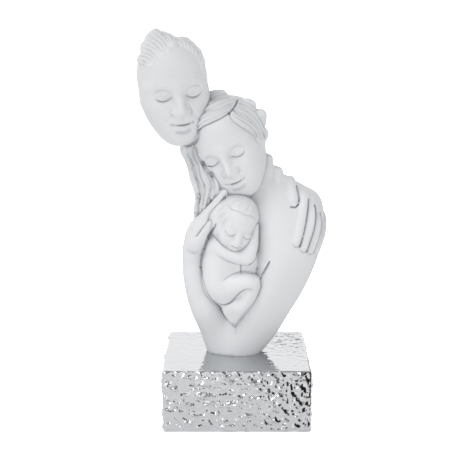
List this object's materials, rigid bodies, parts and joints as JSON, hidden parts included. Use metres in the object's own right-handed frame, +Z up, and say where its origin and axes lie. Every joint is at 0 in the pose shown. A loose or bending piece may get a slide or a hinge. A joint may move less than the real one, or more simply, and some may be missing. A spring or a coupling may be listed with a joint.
{
  "type": "family group sculpture",
  "caption": "Cast figure of a mother wrapped round her baby with a father's head behind them, one curved form on a square hammered plinth, for standing on a shelf.",
  "frame": {"origin": "centre of the plinth's underside", "axes": "+Z up, +X to the viewer's right, +Y back, so that the group faces -Y"},
  "size_m": [0.1436, 0.11, 0.2962],
  "materials": {
    "white_cast_resin": "matt white cast resin, smooth, with fine carved creases",
    "hammered_silver_sheet": "bright silver sheet, hammered all over in small dimples"
  },
  "bodies": {
    "root": {"family_figure": "white_cast_resin", "plinth": "hammered_silver_sheet"}
  },
  "joints": []
}
